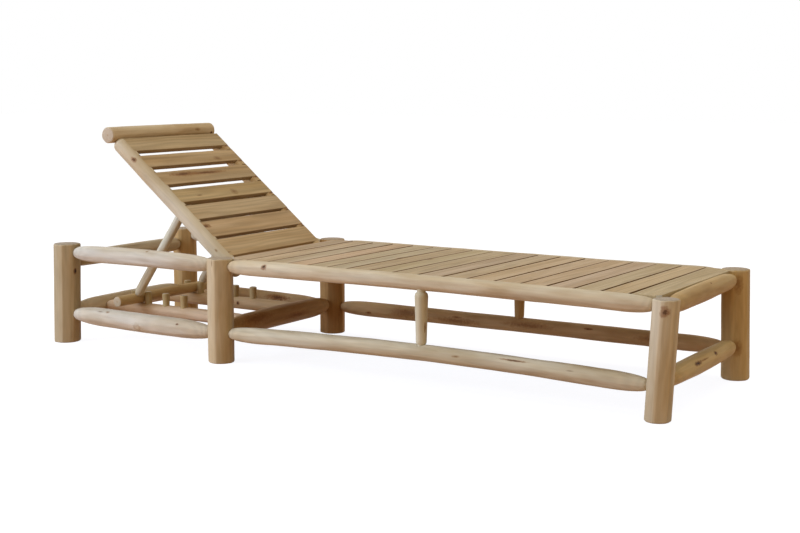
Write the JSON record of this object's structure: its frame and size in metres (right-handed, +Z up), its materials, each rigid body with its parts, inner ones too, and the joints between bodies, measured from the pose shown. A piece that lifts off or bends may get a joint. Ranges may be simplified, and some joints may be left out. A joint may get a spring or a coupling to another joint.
{
  "type": "sun lounger",
  "caption": "Low sun lounger of round peeled teak logs with a slatted deck and a hinged slatted back, held up by a swinging prop whose bar drops between pegs.",
  "frame": {"origin": "middle of the overall box, on the floor", "axes": "+X runs from the head end to the foot end, +Z is up, -Y is the side nearest the camera"},
  "size_m": [2.0629, 0.6535, 0.6737],
  "materials": {
    "peeled_log": "bare, sanded",
    "leg_log": "bare, sanded",
    "sawn_slat": "bare, sanded",
    "dowel": "bare, sanded"
  },
  "bodies": {
    "base": {"cross_foot_lower": "peeled_log", "cross_foot_upper": "peeled_log", "cross_head_lower": "peeled_log", "cross_head_upper": "peeled_log", "cross_mid_lower": "peeled_log", "deck_slat_01": "sawn_slat", "deck_slat_02": "sawn_slat", "deck_slat_03": "sawn_slat", "deck_slat_04": "sawn_slat", "deck_slat_05": "sawn_slat", "deck_slat_06": "sawn_slat", "deck_slat_07": "sawn_slat", "deck_slat_08": "sawn_slat", "deck_slat_09": "sawn_slat", "deck_slat_10": "sawn_slat", "deck_slat_11": "sawn_slat", "deck_slat_12": "sawn_slat", "deck_slat_13": "sawn_slat", "deck_slat_14": "sawn_slat", "deck_slat_15": "sawn_slat", "deck_slat_16": "sawn_slat", "deck_slat_17": "sawn_slat", "deck_slat_18": "sawn_slat", "hinge_rod": "dowel", "leg_far_foot": "leg_log", "leg_far_head": "leg_log", "leg_far_mid": "leg_log", "leg_near_foot": "leg_log", "leg_near_head": "leg_log", "leg_near_mid": "leg_log", "peg_rail_far": "peeled_log", "peg_rail_near": "peeled_log", "rail_far_lower_head": "peeled_log", "rail_far_lower_seat": "peeled_log", "rail_far_upper_head": "peeled_log", "rail_far_upper_seat": "peeled_log", "rail_near_lower_head": "peeled_log", "rail_near_lower_seat": "peeled_log", "rail_near_upper_head": "peeled_log", "rail_near_upper_seat": "peeled_log", "spindle_far": "peeled_log", "spindle_near": "peeled_log"},
    "backrest": {"back_rail_far": "peeled_log", "back_rail_near": "peeled_log", "back_slat_1": "sawn_slat", "back_slat_2": "sawn_slat", "back_slat_3": "sawn_slat", "back_slat_4": "sawn_slat", "back_slat_5": "sawn_slat", "back_slat_6": "sawn_slat", "back_slat_7": "sawn_slat", "headrest_log": "peeled_log", "prop_rung": "dowel"},
    "prop": {"prop_bar": "peeled_log", "prop_strut_far": "peeled_log", "prop_strut_near": "peeled_log"}
  },
  "joints": [
    {"name": "back_recline", "type": "hinge", "parent": "base", "child": "backrest", "pos_m": [-0.36754, 0, 0.2665], "axis": [0, 1, 0], "range_deg": [0, 24]},
    {"name": "prop_swing", "type": "hinge", "parent": "backrest", "child": "prop", "pos_m": [-0.60077, 0, 0.43927], "axis": [0, 1, 0], "range_deg": [-10.85, 0]}
  ],
  "couplings": [
    {"joint": "prop_swing", "follows": "back_recline", "ratio": -0.45}
  ]
}
